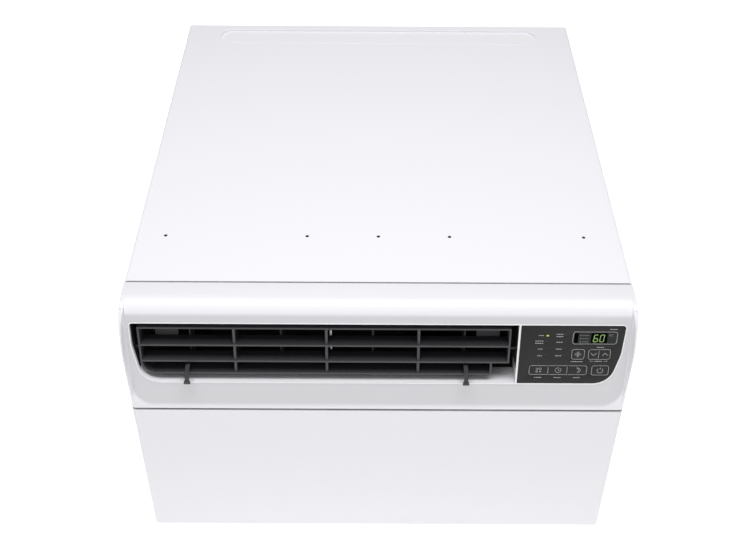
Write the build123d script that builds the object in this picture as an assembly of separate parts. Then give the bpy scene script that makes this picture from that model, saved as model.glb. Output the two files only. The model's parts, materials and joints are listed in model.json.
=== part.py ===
from build123d import *
from math import cos, radians, sin, tan
import os

# Window air conditioner. Millimetres, +Z up, the room side faces -Y, +X to the right.
# The origin is the middle of the bounding box at its bottom.

os.makedirs("parts", exist_ok=True)

# ---- overall size -------------------------------------------------------------------
WIDTH = 600.0
HEIGHT = 381.0
DEPTH = 683.0
FRONT_Y = -DEPTH / 2
HALF_W = WIDTH / 2

# ---- sheet metal sleeve ---------------------------------------------------------------
SHEET = 1.0
SLEEVE_FRONT = 70.5
SLEEVE_BEND = 4.0
RAIL_HOLE_X = (-263.0, -88.0, 0.0, 88.0, 254.0)
RAIL_HOLE_BACK = 155.0
RAIL_HOLE_D = 4.5
GROOVE_HALF_L = 248.0
GROOVE_FROM = 629.0
GROOVE_TO = 670.0
GROOVE_DEPTH = 2.5
SILL_HOLE_X = 220.0
SILL_HOLE_BACK = (150.0, 300.0)
SILL_HOLE_R = 3.0
GUARD_SCREW_X = 294.5
GUARD_SCREW_Z = (40.0, 190.0, 340.0)
FRAME_SCREW_X = 240.0
FRAME_SCREW_Z = 14.0
SCREW_R = 1.9
DRAIN_X = -200.0
DRAIN_BACK = 640.0
VENT_ROWS = 12
VENT_PITCH = 20.0
VENT_H = 7.0
VENT_COLUMNS = ((290.0, 380.0), (400.0, 490.0))

PAN_FLOOR = 5.0
PAN_TOP = 6.2
PAN_RIB_TOP = 9.0

# ---- plastic front ----------------------------------------------------------------------
WALL = 2.5
BEZEL_BACK = 68.5
CHIN_Z = 236.5
GRILLE_TOP = 233.0
GRILLE_BOTTOM = 4.0
GRILLE_BACK = 48.0
FRAME_FRONT = 50.0
RAIL_TOP = 24.0
EDGE_R = 6.0
CORD_BACK = 60.5
CORD_Z = 13.0
HINGE_BACK = 8.0
HINGE_Z = 13.0
HINGE_R = 2.0
SLOPE = 10.5
FACE_TOP_Z = 356.3
FACE_TOP_BACK = 23.78
BEZEL_TOP_Z = 380.7
ROLL_R = 22.0
OPEN_L = -290.2
OPEN_L_BEND_S = 32.0
OPEN_L_LOW = -281.5
OPEN_R = 289.2
OPEN_R_BEND = 287.2
OPEN_R_BEND_S = 41.0
OPEN_R_LOW = 276.5
OPEN_S = 83.3
OPEN_CORNER_R = 25.0
DIVIDER_L = 164.8
DIVIDER_R = 166.2
RING_HALF = 294.5
RING_S = 113.7

# ---- air outlet ---------------------------------------------------------------------------
RETURN_SPLIT_S = 66.0
RETURN_TOP_N = -5.0
RETURN_LOW_N = -33.0
DUCT_GAP = 0.5
DUCT_BACK_N = -84.0
LOUVRE_AXIS_S = 42.0
LOUVRE_AXIS_N = -15.0
LOUVRE_FRONT_N = -4.0
LOUVRE_BACK_N = -25.0
LOUVRE_L = -283.0
LOUVRE_R = 156.4
LOUVRE_LOW_R = 136.0
LOUVRE_LOW_S = 74.5
BLADE_T = 2.2
BLADE_S = (8.0, 32.2, 54.9)
LOUVRE_PIN_R = 1.6
RIB_X = (-170.0, -61.0, 48.0)
VANE_X = (-227.0, -172.5, -117.5, -6.0, 49.5, 105.0)
VANE_AXIS_N = -51.0
VANE_REACH = 16.0
LINK_R = 12.0

# ---- air path and refrigeration -------------------------------------------------------------
AXIS_X = -90.0
AXIS_Z = 172.0
SHAFT_R = 6.0
BLOWER_R = 88.0
FAN_R = 156.0
BULKHEAD_BACK = 252.0
COMPRESSOR_X = 190.0
COMPRESSOR_BACK = 385.0


def y_at(back):
    """Y of a point so many millimetres behind the front plane."""
    return FRONT_Y + back


def block(x0, x1, back0, back1, z0, z1):
    size = Box(x1 - x0, back1 - back0, z1 - z0, align=(Align.MIN, Align.MIN, Align.MIN))
    return Pos(x0, y_at(back0), z0) * size


def rod_y(x, z, radius, back0, back1):
    rod = Cylinder(radius, back1 - back0, align=(Align.CENTER, Align.CENTER, Align.MIN))
    return Pos(x, y_at(back0), z) * Rot(-90, 0, 0) * rod


def rod_x(back, z, radius, x0, x1):
    rod = Cylinder(radius, x1 - x0, align=(Align.CENTER, Align.CENTER, Align.MIN))
    return Pos(x0, y_at(back), z) * Rot(0, 90, 0) * rod


def rod_z(x, back, radius, z0, z1):
    rod = Cylinder(radius, z1 - z0, align=(Align.CENTER, Align.CENTER, Align.MIN))
    return Pos(x, y_at(back), z0) * rod


def fused(pieces):
    pieces = list(pieces)
    first = pieces[0]
    return first.fuse(*pieces[1:]) if len(pieces) > 1 else first


# The sloped upper face: local x to the right, local y up the slope, local z outward.
FACE = Plane(
    origin=(0, y_at(FACE_TOP_BACK), FACE_TOP_Z),
    x_dir=(1, 0, 0),
    z_dir=(0, -cos(radians(SLOPE)), sin(radians(SLOPE))),
)


def on_face(shape):
    return FACE.location * shape


def face_block(x0, x1, s0, s1, n0, n1):
    """Block in the upper face's own axes: s down the slope, n outward."""
    size = Box(x1 - x0, s1 - s0, n1 - n0, align=(Align.MIN, Align.MIN, Align.MIN))
    return Pos(x0, -s1, n0) * size


def face_rod(x, n, radius, s0, s1):
    rod = Cylinder(radius, s1 - s0, align=(Align.CENTER, Align.CENTER, Align.MIN))
    return Pos(x, -s1, n) * Rot(-90, 0, 0) * rod


def face_rod_x(s, n, radius, x0, x1):
    rod = Cylinder(radius, x1 - x0, align=(Align.CENTER, Align.CENTER, Align.MIN))
    return Pos(x0, -s, n) * Rot(0, 90, 0) * rod


def outline(x0, x1, s0, s1, top_l, top_r, bottom_l, bottom_r):
    """Rounded outline on the upper face, one radius for each corner."""
    sketch = Pos((x0 + x1) / 2, -(s0 + s1) / 2) * Rectangle(x1 - x0, s1 - s0)
    corners = (
        (x0, -s0, top_l),
        (x1, -s0, top_r),
        (x0, -s1, bottom_l),
        (x1, -s1, bottom_r),
    )
    for x, y, radius in corners:
        if radius > 0:
            vertex = sketch.vertices().sort_by_distance((x, y, 0))[0]
            sketch = fillet(vertex, radius)
    return sketch


def prism(sketch, n0, n1):
    return Pos(0, 0, n0) * extrude(sketch, n1 - n0)


# ---- casing ---------------------------------------------------------------------------------

def cabinet_sleeve():
    length = DEPTH - SLEEVE_FRONT
    outer = Rectangle(WIDTH, HEIGHT)
    outer = fillet(outer.vertices(), SLEEVE_BEND)
    inner = Rectangle(WIDTH - 2 * SHEET, HEIGHT - 2 * SHEET)
    inner = fillet(inner.vertices(), SLEEVE_BEND - SHEET)
    lip = Rectangle(WIDTH - 12, HEIGHT - 12)
    start = Pos(0, y_at(SLEEVE_FRONT), HEIGHT / 2) * Rot(-90, 0, 0)
    tube = start * extrude(outer - inner, length)
    lip_ring = start * extrude(outer - lip, SHEET)
    shell = tube + lip_ring
    middle = (GROOVE_FROM + GROOVE_TO) / 2
    wide = GROOVE_TO - GROOVE_FROM
    bowl = Pos(0, y_at(middle), HEIGHT - GROOVE_DEPTH - SHEET)
    bowl = bowl * extrude(SlotOverall(2 * GROOVE_HALF_L, wide), GROOVE_DEPTH + SHEET / 2)
    press = Pos(0, y_at(middle), HEIGHT - GROOVE_DEPTH)
    press = press * extrude(SlotOverall(2 * GROOVE_HALF_L - 3, wide - 3), GROOVE_DEPTH + 1)
    shell = shell + bowl - press
    for x in RAIL_HOLE_X:
        shell -= rod_z(x, RAIL_HOLE_BACK, RAIL_HOLE_D / 2, HEIGHT - 5, HEIGHT + 1)
    slots = []
    for row in range(VENT_ROWS):
        z = 88 + row * VENT_PITCH
        for back0, back1 in VENT_COLUMNS:
            slots.append(block(-HALF_W - 2, HALF_W + 2, back0, back1, z, z + VENT_H))
    for slot in slots:
        shell -= slot
    for side in (-1, 1):
        x0, x1 = sorted((side * 290.5, side * 299.5))
        shell += block(x0, x1, 667, 668, 26, 375)
    for x in (-GUARD_SCREW_X, GUARD_SCREW_X):
        for z in GUARD_SCREW_Z:
            shell -= rod_y(x, z, SCREW_R, 660, 675)
    shell -= rod_z(DRAIN_X, DRAIN_BACK, 8.0, -1, 4)
    for x in (-SILL_HOLE_X, SILL_HOLE_X):
        for back in SILL_HOLE_BACK:
            shell -= rod_z(x, back, SILL_HOLE_R, -1, 4)
    return shell


def rear_guard():
    sheet = block(-298, 298, 668, 669.5, 4.5, 377)
    window = block(-284, 284, 660, 680, 18, 362)
    guard = sheet - window
    bars = []
    for index in range(12):
        z = 18 + (index + 1) * 344 / 13
        bars.append(block(-289.5, 289.5, 665.2, 668, z - 1.3, z + 1.3))
    for index in range(5):
        x = -284 + (index + 1) * 568 / 6
        bars.append(block(x - 1.3, x + 1.3, 665.2, 668, 14, 366))
    guard = guard.fuse(*bars)
    for x in (-GUARD_SCREW_X, GUARD_SCREW_X):
        for z in GUARD_SCREW_Z:
            guard = guard - rod_y(x, z, 2.0, 660, 675)
    return guard


def base_pan():
    outer = block(-296, 296, 74, 664, PAN_FLOOR, 24)
    inner = block(-294.8, 294.8, 75.2, 662.8, PAN_TOP, 30)
    pan = outer - inner
    for x in (-150, 150):
        pan += block(x - 12, x + 12, 80, 655, SHEET, PAN_FLOOR)
    for x in (-220, 40, 72):
        pan += block(x - 8, x + 8, 275, 515, PAN_TOP, PAN_RIB_TOP)
    for x in (-FRAME_SCREW_X, FRAME_SCREW_X):
        pan -= rod_y(x, FRAME_SCREW_Z, SCREW_R, 70, 78)
    pan -= rod_z(DRAIN_X, DRAIN_BACK, 8.0, -1, 12)
    return pan


# ---- plastic front --------------------------------------------------------------------------

def bezel_side_shape():
    """Side outline of the upper front, run from left to right."""
    points = [
        (y_at(47), BEZEL_TOP_Z),
        (y_at(35), 379.2),
        (y_at(25), 374.2),
        (y_at(17.4), 366.0),
        (y_at(11), 351.0),
        (y_at(4.5), 325.0),
        (y_at(1.0), 300.0),
        (y_at(0), 284.0),
    ]
    curve = Spline(*points, tangents=((-1, 0), (0, -1)))
    lines = [
        Line((y_at(0), 284.0), (y_at(0), CHIN_Z)),
        Line((y_at(0), CHIN_Z), (y_at(BEZEL_BACK), CHIN_Z)),
        Line((y_at(BEZEL_BACK), CHIN_Z), (y_at(BEZEL_BACK), BEZEL_TOP_Z)),
        Line((y_at(BEZEL_BACK), BEZEL_TOP_Z), (y_at(47), BEZEL_TOP_Z)),
    ]
    return make_face([curve] + lines)


def inset_profile(inward, low, back):
    """Side outline of the sloped face and the roll that carries it into the top."""
    tilt = radians(SLOPE)
    turn = radians(90 - SLOPE)
    corner_back = FACE_TOP_BACK + (BEZEL_TOP_Z - FACE_TOP_Z) * tan(tilt)
    middle_back = corner_back + ROLL_R * tan(turn / 2)
    middle_z = BEZEL_TOP_Z - ROLL_R
    radius = ROLL_R - inward
    low_back = FACE_TOP_BACK + inward / cos(tilt) - (FACE_TOP_Z - low) * tan(tilt)
    foot = (y_at(low_back), low)
    leave = (y_at(middle_back - radius * cos(tilt)), middle_z + radius * sin(tilt))
    half = tilt + turn / 2
    top_of_arc = (y_at(middle_back - radius * cos(half)), middle_z + radius * sin(half))
    meet = (y_at(middle_back), middle_z + radius)
    lines = [
        Line(foot, leave),
        ThreePointArc(leave, top_of_arc, meet),
        Line(meet, (y_at(back), middle_z + radius)),
        Line((y_at(back), middle_z + radius), (y_at(back), low)),
        Line((y_at(back), low), foot),
    ]
    return make_face(lines)


def along_x(sketch, x0, x1):
    """Stand a (Y, Z) sketch up and run it along X."""
    plane = Plane(origin=(x0, 0, 0), x_dir=(0, 1, 0), z_dir=(1, 0, 0))
    return plane.location * extrude(sketch, x1 - x0)


def plan_rounding(back1, z0, z1):
    """Tall block whose two room-side corners are rounded."""
    depth = back1
    plan = Pos(0, y_at(depth / 2)) * Rectangle(WIDTH, depth)
    front = plan.vertices().group_by(Axis.Y)[0]
    plan = fillet(front, EDGE_R)
    return Pos(0, 0, z0) * extrude(plan, z1 - z0)


def inset_cut():
    """Flared pocket that sets the sloped face back inside a soft rim."""
    near = outline(-RING_HALF, RING_HALF, -60, RING_S, 0, 0, 24, 24)
    far = outline(-RING_HALF - 4, RING_HALF + 4, -60, RING_S + 62, 0, 0, 34, 34)
    pocket = prism(near, -45, 0) + loft([near, Pos(0, 0, 14.5) * far], ruled=True)
    kept = along_x(inset_profile(0.0, CHIN_Z - 30, 120), -HALF_W - 10, HALF_W + 10)
    return on_face(pocket) - kept


def corner_rounded(points, radii):
    """Closed outline on the upper face with its own radius at each corner."""
    sketch = make_face(Polyline(*[(x, -s) for x, s in points], close=True))
    for (x, s), radius in zip(points, radii):
        if radius > 0:
            vertex = sketch.vertices().sort_by_distance((x, -s, 0))[0]
            sketch = fillet(vertex, radius)
    return sketch


def louvre_outline(grow=0.0):
    points = [
        (OPEN_L, 0),
        (DIVIDER_L, 0),
        (DIVIDER_L, OPEN_S),
        (OPEN_L_LOW, OPEN_S),
        (OPEN_L, OPEN_L_BEND_S),
    ]
    sketch = corner_rounded(points, (4, 0, 0, OPEN_CORNER_R, 60))
    return offset(sketch, grow, kind=Kind.INTERSECTION) if grow else sketch


def panel_outline(grow=0.0):
    points = [
        (DIVIDER_R, 0),
        (OPEN_R, 0),
        (OPEN_R_BEND, OPEN_R_BEND_S),
        (OPEN_R_LOW, OPEN_S),
        (DIVIDER_R, OPEN_S),
    ]
    sketch = corner_rounded(points, (0, 4, 60, OPEN_CORNER_R, 0))
    return offset(sketch, grow, kind=Kind.INTERSECTION) if grow else sketch


def bezel_cavity():
    """Hollow behind the upper front's walls."""
    shape = inset_profile(WALL, CHIN_Z + WALL, BEZEL_BACK + 2)
    return along_x(shape, -HALF_W + WALL, HALF_W - WALL)


def front_bezel():
    body = along_x(bezel_side_shape(), -HALF_W, HALF_W)
    body = body & plan_rounding(BEZEL_BACK, 200, 400)
    body = body - inset_cut()
    body = body - bezel_cavity()
    low_part = face_block(-HALF_W, HALF_W, RETURN_SPLIT_S, 2 * OPEN_S, RETURN_LOW_N, 0)
    low_wall = prism(louvre_outline(2.0), RETURN_LOW_N, -1.0) & low_part
    body = body + on_face(prism(louvre_outline(2.0), RETURN_TOP_N, -1.0) + low_wall)
    body = body - on_face(prism(louvre_outline(), RETURN_LOW_N - 1, 20))
    return body - on_face(prism(panel_outline(), RETURN_LOW_N, 20))


def front_frame():
    """Lower rail behind the intake panel, with the two arms that carry its hinge."""
    body = block(-HALF_W, HALF_W, FRAME_FRONT, BEZEL_BACK, 2, RAIL_TOP)
    inner = HALF_W - WALL
    body = body - block(-inner, inner, FRAME_FRONT + WALL, 80, 4.5, RAIL_TOP - WALL)
    for side in (-1, 1):
        x0, x1 = sorted((side * 279, side * 287))
        arm = block(x0, x1, 8, FRAME_FRONT + 1, 8.5, 17.5)
        arm = arm + rod_x(HINGE_BACK, HINGE_Z, 4.5, x0, x1)
        body = body + arm
        body = body - rod_x(HINGE_BACK, HINGE_Z, HINGE_R + 0.05, x0 - 1, x1 + 1)
    for x in (-FRAME_SCREW_X, FRAME_SCREW_X):
        body = body - rod_y(x, FRAME_SCREW_Z, 2.1, FRAME_FRONT - 1, FRAME_FRONT + 4)
    return body - rod_x(CORD_BACK, CORD_Z, 6.9, 290, 302)


def frame_yoke():
    """Posts and top bar of the frame; it stands on the lower rail round the intake."""
    body = block(-HALF_W, HALF_W, FRAME_FRONT, BEZEL_BACK, RAIL_TOP, CHIN_Z)
    body = body - block(-276, 276, FRAME_FRONT - 1, BEZEL_BACK + 1, RAIL_TOP - 1, CHIN_Z - 8)
    inner = HALF_W - WALL
    return body - block(-inner, inner, FRAME_FRONT + WALL, 80, RAIL_TOP - 1, CHIN_Z - 2)


def case_screws():
    """Six identical screws hold the rear guard and two hold the front frame."""
    screws = []
    for x in (-GUARD_SCREW_X, GUARD_SCREW_X):
        for z in GUARD_SCREW_Z:
            head = rod_y(x, z, 3.8, 669.5, 672.0)
            screws.append(head + rod_y(x, z, SCREW_R, 655, 669.5))
    for x in (-FRAME_SCREW_X, FRAME_SCREW_X):
        head = rod_y(x, FRAME_SCREW_Z, 3.8, FRAME_FRONT - 2.5, FRAME_FRONT)
        shank = rod_y(x, FRAME_SCREW_Z, SCREW_R, FRAME_FRONT, 77.5)
        screws.append(head + shank)
    return Compound(screws)


def cord_gland():
    gland = rod_x(CORD_BACK, CORD_Z, 7.9, 292, 297.5) + rod_x(CORD_BACK, CORD_Z, 6.9, 297.5, 299.6)
    return gland - rod_x(CORD_BACK, CORD_Z, 4.2, 291, 301)


def intake_grille():
    body = block(-HALF_W, HALF_W, 0, GRILLE_BACK, GRILLE_BOTTOM, GRILLE_TOP)
    body = body & plan_rounding(GRILLE_BACK, 0, 300)
    inside = block(-HALF_W + WALL, HALF_W - WALL, WALL, 60, GRILLE_BOTTOM + WALL, GRILLE_TOP - WALL)
    body = body - inside
    body = body - block(-HALF_W + WALL, HALF_W - WALL, 14, 60, 0, 100)
    body = body - block(-HALF_W + WALL, HALF_W - WALL, 30, 60, 200, 240)
    for side in (-1, 1):
        x0, x1 = sorted((side * 277, side * 289))
        body = body - block(x0, x1, WALL, 20, 0, 20)
        x0, x1 = sorted((side * 289, side * 298))
        body = body + block(x0, x1, 3, 14, 5, 24)
        x0, x1 = sorted((side * 292, side * 298))
        body = body + block(x0, x1, 28, 29.6, 30, 224)
        body = body + block(x0, x1, 36.4, 38, 30, 224)
        body = body + block(x0, x1, 28, 38, 26, 30)
    slots = []
    for index in range(16):
        z = 40 + index * 11.5
        slots.append(block(-310, 310, 16, 44, z, z + 5.0))
    for slot in slots:
        body = body - (slot - block(-297, 297, 0, 70, 0, 300))
    for side in (-1, 1):
        x0, x1 = sorted((side * 278, side * 290))
        body = body + rod_x(HINGE_BACK, HINGE_Z, HINGE_R, x0, x1)
    return body


def air_filter():
    """Moulded frame with the thin screen left standing in its windows."""
    x0, x1 = -291.0, 291.0
    frame = block(x0, x1, 30.2, 35.8, 31, 228)
    for column in range(6):
        for row in range(3):
            left = x0 + 8 + column * (582 - 8) / 6
            low = 39 + row * 62.0
            right = left + (582 - 8) / 6 - 5
            frame = frame - block(left, right, 29, 32.5, low, low + 57)
            frame = frame - block(left, right, 33.5, 37, low, low + 57)
    return frame


# ---- air outlet -----------------------------------------------------------------------------

def louvre_low_rail():
    """Short bottom blade with its rounded left end and its upright right end."""
    outer = outline(LOUVRE_L, LOUVRE_LOW_R, 30, LOUVRE_LOW_S, 0, 0, 17.8, 4)
    inner = outline(
        LOUVRE_L + BLADE_T,
        LOUVRE_LOW_R - BLADE_T,
        20,
        LOUVRE_LOW_S - BLADE_T,
        0,
        0,
        17.8 - BLADE_T,
        4 - BLADE_T,
    )
    band = prism(outer - inner, LOUVRE_BACK_N, LOUVRE_FRONT_N)
    keep = face_block(-HALF_W, HALF_W, BLADE_S[-1], OPEN_S, LOUVRE_BACK_N, LOUVRE_FRONT_N)
    return band & keep


def louver_frame():
    """Grid of tilting blades tied together by upright ribs."""
    front, back = LOUVRE_FRONT_N, LOUVRE_BACK_N
    last = BLADE_S[-1] + BLADE_T
    pieces = [louvre_low_rail()]
    for s in BLADE_S:
        pieces.append(face_block(LOUVRE_L, LOUVRE_R, s, s + BLADE_T, back, front))
    for x in RIB_X:
        pieces.append(face_block(x - 1.5, x + 1.5, 9, 73, back + 2, front - 2))
    for x0 in (LOUVRE_L, LOUVRE_R - BLADE_T):
        x1 = x0 + BLADE_T
        pieces.append(face_block(x0, x1, BLADE_S[0], last, back, front))
        pieces.append(face_rod_x(LOUVRE_AXIS_S, LOUVRE_AXIS_N, 4.0, x0, x1))
    for x0, x1 in ((OPEN_L - 1.9, LOUVRE_L + 1), (LOUVRE_R - 1, DIVIDER_L + 1.9)):
        pieces.append(face_rod_x(LOUVRE_AXIS_S, LOUVRE_AXIS_N, LOUVRE_PIN_R, x0, x1))
    return on_face(fused(pieces))


def lever(x):
    """Flat finger strap that comes out under the third blade and bends down."""
    side = [
        (-62.0, -38.0),
        (-64.0, -4.0),
        (-66.0, 6.5),
        (-77.0, 10.0),
        (-76.4, 12.2),
        (-64.1, 8.4),
        (-61.8, -3.6),
        (-59.8, -38.0),
    ]
    strap = make_face(Polyline(*side, close=True))
    plane = Plane(origin=(x - 2.5, 0, 0), x_dir=(0, 1, 0), z_dir=(1, 0, 0))
    return plane.location * extrude(strap, 5)


def vane(x, with_lever):
    reach = VANE_REACH
    plate = face_block(x - 0.8, x + 0.8, 8, 76, VANE_AXIS_N - reach, VANE_AXIS_N + reach)
    hub = face_rod(x, VANE_AXIS_N, 2.2, 8, 76)
    low_pin = face_rod(x, VANE_AXIS_N, 1.5, 76, OPEN_S + 1.8)
    high_pin = face_rod(x, VANE_AXIS_N, 1.5, -1.8, 8)
    link_pin = face_rod(x, VANE_AXIS_N - LINK_R, 1.5, 2.0, 9)
    pieces = [plate, hub, low_pin, high_pin, link_pin]
    if with_lever:
        pieces.append(lever(x))
    return on_face(fused(pieces))


def link_bar(xs, side):
    """Bar that ties three vanes together; its arm carries a rounded lobe at the outer end."""
    bar_n = VANE_AXIS_N - LINK_R
    bar = face_block(xs[0] - 8, xs[-1] + 8, 3.4, 4.8, bar_n - 4.4, bar_n + 4.4)
    for x in xs:
        bar = bar - face_block(x - 2.1, x + 2.1, 2, 7, bar_n - 3.2, bar_n + 3.2)
    end = xs[0] - 8 if side < 0 else xs[-1] + 8
    out = end + side * 22
    x0, x1 = sorted((end - side, out))
    pieces = [bar, face_block(x0, x1, 3.4, 4.8, bar_n - 1.5, bar_n + 1.5)]
    x0, x1 = sorted((out, out - side * 2))
    pieces.append(face_block(x0, x1, 3.4, 24, bar_n - 1.5, bar_n + 1.5))
    pieces.append(face_block(x0, x1, 22, 24, bar_n - 1.5, -36.6))
    x0, x1 = sorted((end + side * 6, end + side * 34))
    lobe = outline(x0, x1, 20, 50, 12, 12, 12, 12)
    pieces.append(prism(lobe, -37.5, -36.5))
    return on_face(fused(pieces))


def air_duct():
    """Dark throat behind the outlet that carries the louvre frame and the vanes."""
    duct = prism(louvre_outline(2.0), DUCT_BACK_N, RETURN_TOP_N - DUCT_GAP)
    low_front = RETURN_LOW_N - DUCT_GAP
    low_part = face_block(-HALF_W, HALF_W, RETURN_SPLIT_S - DUCT_GAP, 2 * OPEN_S, low_front, 0)
    duct = duct - low_part
    duct = duct - prism(louvre_outline(0.0), DUCT_BACK_N - 1, 1)
    duct = duct + face_block(-62.5, -60.5, -1, OPEN_S + 1, -70, -38)
    for x in VANE_X:
        duct = duct - face_rod(x, VANE_AXIS_N, 1.55, -3, OPEN_S + 3)
    pin_hole = LOUVRE_PIN_R + 0.05
    duct = duct - face_rod_x(LOUVRE_AXIS_S, LOUVRE_AXIS_N, pin_hole, OPEN_L - 3, DIVIDER_L + 3)
    return on_face(duct)


# ---- control panel --------------------------------------------------------------------------

def key_outline(x0, x1, s0, s1, radius=1.5):
    middle = Pos((x0 + x1) / 2, -(s0 + s1) / 2)
    return middle * RectangleRounded(x1 - x0, s1 - s0, radius)


KEYS = {
    "button_fan_speed": (228.4, 244.3, 33.2, 48.3),
    "button_temp_down": (248.2, 261.4, 33.2, 48.3),
    "button_temp_up": (262.0, 275.0, 33.2, 48.3),
    "button_mode": (179.8, 203.2, 56.8, 70.8),
    "button_timer": (203.8, 225.8, 56.8, 70.8),
    "button_sleep": (226.4, 249.4, 56.8, 70.8),
    "button_power": (254.3, 275.4, 56.6, 71.2),
}
DISPLAY = (227.8, 280.4, 8.4, 26.4)
LED_COLUMN_X = (198.5, 220.0)
LED_ROW_S = (14.4, 23.6, 33.3, 42.5)


def control_fascia():
    plate = prism(panel_outline(-0.2), -2.6, 0.0)
    right_half = face_block(DIVIDER_R + 0.2, HALF_W, -10, 2 * OPEN_S, -4.6, -2.55)
    flange = prism(panel_outline(2.0), -4.6, -2.55) & right_half
    body = plate + flange
    for x0, x1, s0, s1 in KEYS.values():
        body = body - prism(key_outline(x0 - 0.4, x1 + 0.4, s0 - 0.4, s1 + 0.4), -6, 1)
    body = body - prism(key_outline(*DISPLAY), -1.2, 1)
    x0, x1, s0, s1 = DISPLAY
    body = body - face_block(x0 + 2, x1 - 2, s0 + 2, s1 - 2, -6, 0)
    for x in LED_COLUMN_X:
        for s in LED_ROW_S:
            body = body - face_block(x - 1.2, x + 1.2, s - 0.8, s + 0.8, -6, 1)
    return on_face(body)


def display_window():
    return on_face(prism(key_outline(*DISPLAY), -1.2, 0.0))


def button(name):
    x0, x1, s0, s1 = KEYS[name]
    cap = prism(key_outline(x0, x1, s0, s1), -4.2, 0.0)
    mx, ms = (x0 + x1) / 2, (s0 + s1) / 2
    stem = face_block(mx - 2, mx + 2, ms - 2, ms + 2, -8.6, -4.2)
    return on_face(cap + stem)


def control_board():
    board = face_block(172, 284, 4, 72, -13.6, -12.0)
    pieces = [board]
    for x0, x1, s0, s1 in KEYS.values():
        mx, ms = (x0 + x1) / 2, (s0 + s1) / 2
        pieces.append(face_block(mx - 3, mx + 3, ms - 3, ms + 3, -12, -9.6))
    return on_face(fused(pieces))


def display_module():
    x0, x1, s0, s1 = DISPLAY
    return on_face(face_block(x0 + 4, x1 - 4, s0 + 3, s1 - 3, -12, -5.2))


def indicator_lights():
    lights = []
    for x in LED_COLUMN_X:
        for s in LED_ROW_S:
            lights.append(on_face(face_block(x - 1.0, x + 1.0, s - 0.6, s + 0.6, -12, -0.3)))
    return Compound(lights)


def control_box():
    outer = block(176, 290, 78, 235, 252, 366)
    inner = block(178, 288, 80, 233, 254, 370)
    box = outer - inner
    box = box - block(200, 270, 70, 90, 300, 340)
    for x in (190, 276):
        for back in (92, 222):
            box = box + rod_z(x, back, 3.0, 254, 262)
    return box


def power_board():
    board = block(184, 282, 86, 228, 262, 263.6)
    pieces = [board]
    pieces.append(block(200, 224, 100, 124, 263.6, 296))
    pieces.append(block(236, 272, 110, 150, 263.6, 288))
    pieces.append(block(196, 270, 180, 214, 263.6, 300))
    return fused(pieces)


# ---- indoor section -------------------------------------------------------------------------

def drip_tray():
    tray = block(-288, 288, 79, 124, PAN_TOP, 22)
    return tray - block(-284, 284, 82, 120, 10, 30)


def evaporator_coil():
    return block(-270, 262, 82, 120, 24, 228)


def end_plates(x0, x1, back0, back1, z0, z1):
    left = block(x0 - 1.2, x0, back0, back1, z0, z1)
    right = block(x1, x1 + 1.2, back0, back1, z0, z1)
    return Compound([left, right])


def evaporator_end_plates():
    return end_plates(-270, 262, 82, 120, 24, 228)


def hairpins(x, side, backs, z0, z1, count):
    """Copper return bends that stick out of one end of a coil."""
    bends = []
    pitch = (z1 - z0) / count
    for index in range(count):
        z = z0 + pitch * (index + 0.5)
        back0, back1 = backs
        straight = 7.0
        arc_r = (back1 - back0) / 2
        middle = (back0 + back1) / 2
        ring = Circle(arc_r + 4) - Circle(arc_r - 4)
        half = ring & (Pos(0, arc_r + 4) * Rectangle(4 * arc_r + 20, 2 * arc_r + 8))
        bend = extrude(half, 7)
        turn = Rot(0, 0, -90) if side > 0 else Rot(0, 0, 90)
        bend = Pos(x + side * straight, y_at(middle), z - 3.5) * turn * bend
        for back in backs:
            xa, xb = sorted((x, x + side * straight))
            bend = bend + block(xa, xb, back - 4, back + 4, z - 3.5, z + 3.5)
        bends.append(bend)
    return bends


def evaporator_bends():
    right = hairpins(263.2, 1, (92, 110), 34, 220, 7)
    left = hairpins(-271.2, -1, (92, 110), 48, 206, 6)
    return Compound(right + left)


def scroll_front():
    plate = block(-215, 35, 124, 126, 30, 262)
    lip = rod_y(AXIS_X, AXIS_Z, 72, 126, 134) - rod_y(AXIS_X, AXIS_Z, 70, 120, 140)
    return plate - rod_y(AXIS_X, AXIS_Z, 70, 120, 140) + lip


def scroll_case():
    outer = rod_y(AXIS_X, AXIS_Z, 108, 126, 250)
    inner = rod_y(AXIS_X, AXIS_Z, 105, 125, 248)
    case = outer - inner
    case = case - block(AXIS_X - 80, AXIS_X + 80, 125, 251, 225, 300)
    case = case - rod_y(AXIS_X, AXIS_Z, 20, 240, 255)
    return case


def air_plenum():
    outer = block(-292, 170, 108, 250, 266, 366)
    inner = block(-289, 167, 100, 247, 269, 363)
    box = outer - inner
    return box - block(AXIS_X - 76, AXIS_X + 76, 128, 246, 260, 270)


def bulkhead():
    plate = block(-294, 294, BULKHEAD_BACK, BULKHEAD_BACK + 1.2, PAN_TOP, 377)
    foot = block(-294, 294, BULKHEAD_BACK, BULKHEAD_BACK + 14, PAN_TOP, PAN_TOP + 1.2)
    top = block(-294, 294, BULKHEAD_BACK, BULKHEAD_BACK + 14, 375.8, 377)
    body = plate + foot + top
    return body - rod_y(AXIS_X, AXIS_Z, 16, 240, 270)


# ---- fan drive ------------------------------------------------------------------------------

def motor_shaft():
    return rod_y(AXIS_X, AXIS_Z, SHAFT_R, 150, 520)


def motor_housing():
    can = rod_y(AXIS_X, AXIS_Z, 56, 275, 365) - rod_y(AXIS_X, AXIS_Z, 53, 278, 362)
    for back0, back1 in ((265, 275), (365, 375)):
        can = can + rod_y(AXIS_X, AXIS_Z, 18, back0, back1)
    return can - rod_y(AXIS_X, AXIS_Z, 11, 260, 380)


def motor_bearings():
    bushes = []
    for back0, back1 in ((266, 277), (363, 374)):
        bush = rod_y(AXIS_X, AXIS_Z, 11, back0, back1)
        bushes.append(bush - rod_y(AXIS_X, AXIS_Z, SHAFT_R + 0.05, back0 - 1, back1 + 1))
    return Compound(bushes)


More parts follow.
